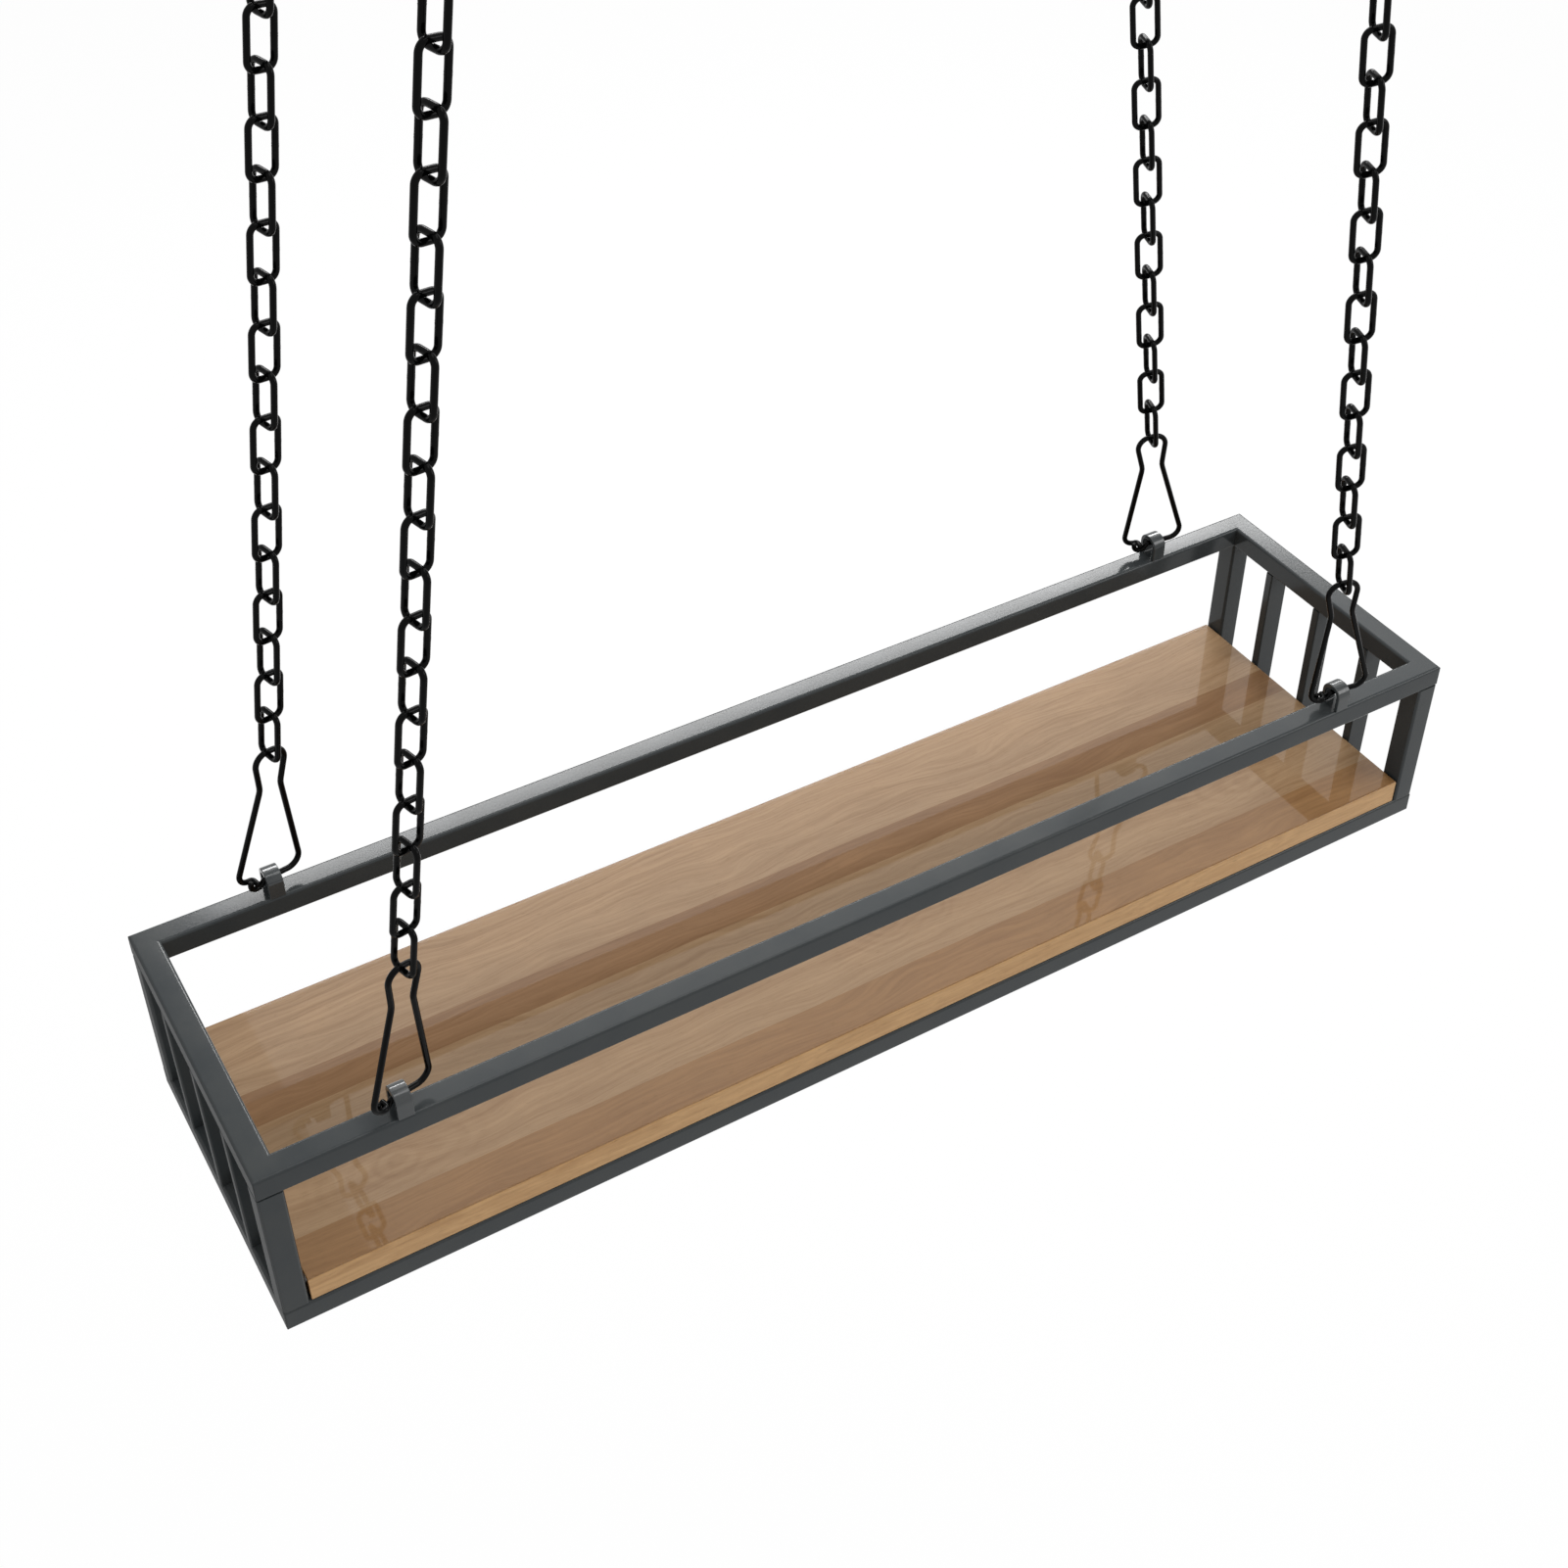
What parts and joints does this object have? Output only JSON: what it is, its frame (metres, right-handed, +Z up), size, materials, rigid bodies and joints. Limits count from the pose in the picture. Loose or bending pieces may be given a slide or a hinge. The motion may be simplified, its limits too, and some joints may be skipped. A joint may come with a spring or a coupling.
{
  "type": "hanging plant shelf",
  "caption": "Rectangular shelf of square steel tube with a wooden board, open on its long sides, hung from the ceiling by chains with ring hooks at its corners.",
  "frame": {"origin": "middle of the pattern of the screw hooks, on the ceiling plane", "axes": "+Z up into the ceiling, +X along the shelf's length to the right, +Y to the back; the pictured front long side faces -Y"},
  "size_m": [0.64, 0.17, 0.6173],
  "materials": {
    "frame_paint": "satin dark grey powder coat",
    "board_wood": "lacquered light hardwood staves, semi-gloss",
    "black_paint": "gloss black",
    "screw_zinc": "zinc plated"
  },
  "bodies": {
    "ceiling": {"ceiling_hook_front_left": "black_paint", "ceiling_hook_front_right": "black_paint", "ceiling_hook_back_left": "black_paint", "ceiling_hook_back_right": "black_paint", "ceiling_plate_front_left": "black_paint", "ceiling_plate_front_right": "black_paint", "ceiling_plate_back_left": "black_paint", "ceiling_plate_back_right": "black_paint"},
    "hanger_front_left": {"chain_front_left": "black_paint", "ring_hook_front_left": "black_paint"},
    "hanger_front_right": {"chain_front_right": "black_paint", "ring_hook_front_right": "black_paint"},
    "hanger_back_left": {"chain_back_left": "black_paint", "ring_hook_back_left": "black_paint"},
    "hanger_back_right": {"chain_back_right": "black_paint", "ring_hook_back_right": "black_paint"},
    "shelf": {"rail_top_front": "frame_paint", "rail_top_back": "frame_paint", "rail_top_left": "frame_paint", "rail_top_right": "frame_paint", "rail_bottom_front": "frame_paint", "rail_bottom_back": "frame_paint", "rail_bottom_left": "frame_paint", "rail_bottom_right": "frame_paint", "post_front_left": "frame_paint", "post_front_right": "frame_paint", "post_back_left": "frame_paint", "post_back_right": "frame_paint", "bar_left_front": "frame_paint", "bar_left_middle": "frame_paint", "bar_left_back": "frame_paint", "bar_right_front": "frame_paint", "bar_right_middle": "frame_paint", "bar_right_back": "frame_paint", "board": "board_wood", "board_screws": "screw_zinc", "eye_front_left": "frame_paint", "eye_front_right": "frame_paint", "eye_back_left": "frame_paint", "eye_back_right": "frame_paint"},
    "latch_front_left": {"gate_front_left": "black_paint"},
    "latch_front_right": {"gate_front_right": "black_paint"},
    "latch_back_left": {"gate_back_left": "black_paint"},
    "latch_back_right": {"gate_back_right": "black_paint"}
  },
  "joints": [
    {"name": "swing_front_left", "type": "hinge", "parent": "ceiling", "child": "hanger_front_left", "pos_m": [-0.18616, -0.074, -0.02792], "axis": [1, 0, 0], "range_deg": [-15, 15]},
    {"name": "swing_front_right", "type": "hinge", "parent": "ceiling", "child": "hanger_front_right", "pos_m": [0.18616, -0.074, -0.02792], "axis": [1, 0, 0], "range_deg": [-15, 15]},
    {"name": "swing_back_left", "type": "hinge", "parent": "ceiling", "child": "hanger_back_left", "pos_m": [-0.18616, 0.074, -0.02792], "axis": [1, 0, 0], "range_deg": [-15, 15]},
    {"name": "swing_back_right", "type": "hinge", "parent": "ceiling", "child": "hanger_back_right", "pos_m": [0.18616, 0.074, -0.02792], "axis": [1, 0, 0], "range_deg": [-15, 15]},
    {"name": "shelf_level", "type": "hinge", "parent": "hanger_front_left", "child": "shelf", "pos_m": [-0.253, -0.074, -0.48485], "axis": [1, 0, 0], "range_deg": [-15, 15]},
    {"name": "gate_front_left_open", "type": "hinge", "parent": "hanger_front_left", "child": "latch_front_left", "pos_m": [-0.25054, -0.07549, -0.43215], "axis": [-0.9511, -0.2756, 0.1391], "range_deg": [0, 12], "stiffness_Nm_per_rad": 0.03, "springref_deg": -5.73},
    {"name": "gate_front_right_open", "type": "hinge", "parent": "hanger_front_right", "child": "latch_front_right", "pos_m": [0.24027, -0.07251, -0.43366], "axis": [-0.9511, 0.2756, -0.1391], "range_deg": [0, 12], "stiffness_Nm_per_rad": 0.03, "springref_deg": -5.73},
    {"name": "gate_back_left_open", "type": "hinge", "parent": "hanger_back_left", "child": "latch_back_left", "pos_m": [-0.25054, 0.07251, -0.43215], "axis": [0.9511, 0.2756, -0.1391], "range_deg": [0, 12], "stiffness_Nm_per_rad": 0.03, "springref_deg": -5.73},
    {"name": "gate_back_right_open", "type": "hinge", "parent": "hanger_back_right", "child": "latch_back_right", "pos_m": [0.24027, 0.07549, -0.43366], "axis": [0.9511, -0.2756, 0.1391], "range_deg": [0, 12], "stiffness_Nm_per_rad": 0.03, "springref_deg": -5.73}
  ],
  "couplings": [
    {"joint": "swing_front_right", "follows": "swing_front_left", "ratio": 1},
    {"joint": "swing_back_left", "follows": "swing_front_left", "ratio": 1},
    {"joint": "swing_back_right", "follows": "swing_front_left", "ratio": 1},
    {"joint": "shelf_level", "follows": "swing_front_left", "ratio": -1}
  ]
}
